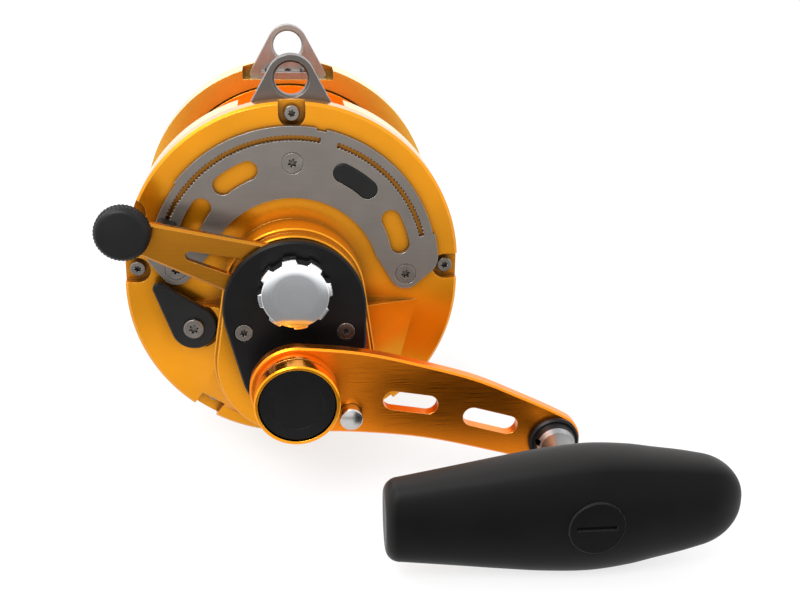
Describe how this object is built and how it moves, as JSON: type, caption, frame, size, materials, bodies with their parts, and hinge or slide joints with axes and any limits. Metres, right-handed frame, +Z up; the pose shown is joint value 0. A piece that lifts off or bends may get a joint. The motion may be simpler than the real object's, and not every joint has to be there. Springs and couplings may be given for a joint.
{
  "type": "two-speed lever-drag trolling reel",
  "caption": "Lever-drag trolling reel: round side plates on a ringed frame, open spool, drag lever on a curved quadrant, crank with an oval T-bar grip, harness lugs and a drilled reel foot.",
  "frame": {"origin": "centre of the underside of the reel foot", "axes": "+Z up, from the rod towards the harness lugs; +X towards the rod tip; +Y along the spool's axis from the handle side to the left side plate"},
  "size_m": [0.2286, 0.2172, 0.1648],
  "materials": {
    "gold_anodised": "satin gold anodised",
    "grey_satin_metal": "grey satin",
    "black_anodised": "black anodised",
    "black_plastic": "matte black",
    "grip_rubber": "matte black",
    "bright_chrome": "polished",
    "stainless_steel": "turned",
    "bush_plastic": "natural",
    "friction_lining": "woven carbon lining"
  },
  "bodies": {
    "frame": {"frame": "gold_anodised", "handle_side_plate": "gold_anodised", "left_side_plate": "gold_anodised", "left_plate_cap": "gold_anodised", "left_cap_screws": "stainless_steel", "rim_screws": "stainless_steel", "left_rim_screws": "stainless_steel", "handle_side_lug": "grey_satin_metal", "left_side_lug": "grey_satin_metal", "lug_screws": "stainless_steel", "quadrant": "grey_satin_metal", "quadrant_screws": "stainless_steel", "gear_cover": "black_anodised", "cover_screws": "stainless_steel", "bridge_plate": "black_anodised", "bridge_screws": "stainless_steel", "fixed_cam": "stainless_steel", "pinion_front_bearing": "stainless_steel", "pinion_rear_bearing": "stainless_steel", "crank_front_bearing": "stainless_steel", "crank_rear_bearing": "stainless_steel", "dog_screws": "stainless_steel"},
    "lever": {"drag_lever": "gold_anodised", "drag_cam": "stainless_steel", "detent_shoe": "black_plastic", "lever_knob": "black_plastic", "lever_knob_collar": "gold_anodised", "lever_knob_screw": "stainless_steel"},
    "shaft": {"spool_shaft": "stainless_steel", "drag_springs": "stainless_steel", "spool_bearing_near": "stainless_steel", "spool_bearing_far": "stainless_steel"},
    "preset": {"preset_knob": "bright_chrome"},
    "spool": {"spool": "gold_anodised", "friction_washer": "friction_lining", "click_gear": "stainless_steel"},
    "pinion": {"pinion": "stainless_steel", "drag_rotor": "stainless_steel"},
    "crank": {"crank_shaft": "stainless_steel", "crank_arm": "gold_anodised", "hub_cup": "gold_anodised", "handle_nut": "stainless_steel", "crank_spacer": "grey_satin_metal", "high_gear": "stainless_steel", "ratchet": "stainless_steel", "grip_post": "grey_satin_metal"},
    "grip": {"grip": "grip_rubber", "grip_cap": "grip_rubber", "grip_bushes": "bush_plastic"},
    "low_gear": {"low_gear": "stainless_steel"},
    "shift": {"shift_button": "black_anodised", "shift_rod_and_key": "stainless_steel", "shift_spring": "stainless_steel"},
    "release": {"release_pin": "bright_chrome"},
    "strike": {"strike_button": "black_anodised"},
    "clicker": {"click_lever": "black_anodised", "click_shaft": "stainless_steel", "click_screw": "stainless_steel"},
    "left_dog": {"left_dog": "stainless_steel"},
    "right_dog": {"right_dog": "stainless_steel"}
  },
  "joints": [
    {"name": "crank_turn", "type": "hinge", "parent": "frame", "child": "crank", "pos_m": [0, -0.05465, 0.041], "axis": [0, 1, 0], "continuous": true},
    {"name": "grip_spin", "type": "hinge", "parent": "crank", "child": "grip", "pos_m": [0.1, -0.14465, 0.0171], "axis": [0, 1, 0], "continuous": true},
    {"name": "drag_lever_swing", "type": "hinge", "parent": "frame", "child": "lever", "pos_m": [0, -0.05465, 0.076], "axis": [0, 1, 0], "range_deg": [0, 148]},
    {"name": "shaft_pull", "type": "slide", "parent": "frame", "child": "shaft", "axis": [0, -1, 0], "range_m": [0, 0.0007]},
    {"name": "preset_turn", "type": "hinge", "parent": "shaft", "child": "preset", "pos_m": [0, -0.05465, 0.076], "axis": [0, 1, 0], "range_deg": [-360, 360]},
    {"name": "spool_spin", "type": "hinge", "parent": "shaft", "child": "spool", "pos_m": [0, -0.05465, 0.076], "axis": [0, 1, 0], "continuous": true},
    {"name": "pinion_spin", "type": "hinge", "parent": "frame", "child": "pinion", "pos_m": [0, -0.05465, 0.076], "axis": [0, 1, 0], "continuous": true},
    {"name": "low_gear_spin", "type": "hinge", "parent": "frame", "child": "low_gear", "pos_m": [0, -0.05465, 0.041], "axis": [0, 1, 0], "continuous": true},
    {"name": "shift_push", "type": "slide", "parent": "crank", "child": "shift", "axis": [0, 1, 0], "range_m": [0, 0.0055], "stiffness_N_per_m": 600, "springref_m": -0.003},
    {"name": "release_push", "type": "slide", "parent": "crank", "child": "release", "axis": [0, 1, 0], "range_m": [0, 0.002], "stiffness_N_per_m": 400, "springref_m": -0.002},
    {"name": "strike_push", "type": "slide", "parent": "frame", "child": "strike", "axis": [0, 1, 0], "range_m": [0, 0.0012], "stiffness_N_per_m": 600, "springref_m": -0.001},
    {"name": "clicker_turn", "type": "hinge", "parent": "frame", "child": "clicker", "pos_m": [-0.0396, -0.05465, 0.0534], "axis": [0, 1, 0], "range_deg": [-35, 0]},
    {"name": "left_dog_turn", "type": "hinge", "parent": "frame", "child": "left_dog", "pos_m": [-0.0155, -0.07365, 0.051], "axis": [0, 1, 0], "range_deg": [0, 12], "stiffness_Nm_per_rad": 0.0005, "springref_deg": -5.73},
    {"name": "right_dog_turn", "type": "hinge", "parent": "frame", "child": "right_dog", "pos_m": [0.0155, -0.07365, 0.051], "axis": [0, 1, 0], "range_deg": [-12, 0], "stiffness_Nm_per_rad": 0.0005, "springref_deg": 5.73}
  ],
  "couplings": [
    {"joint": "pinion_spin", "follows": "crank_turn", "ratio": -3},
    {"joint": "low_gear_spin", "follows": "crank_turn", "ratio": 2.25},
    {"joint": "shaft_pull", "follows": "drag_lever_swing", "m_per_rad": 0.00027}
  ]
}
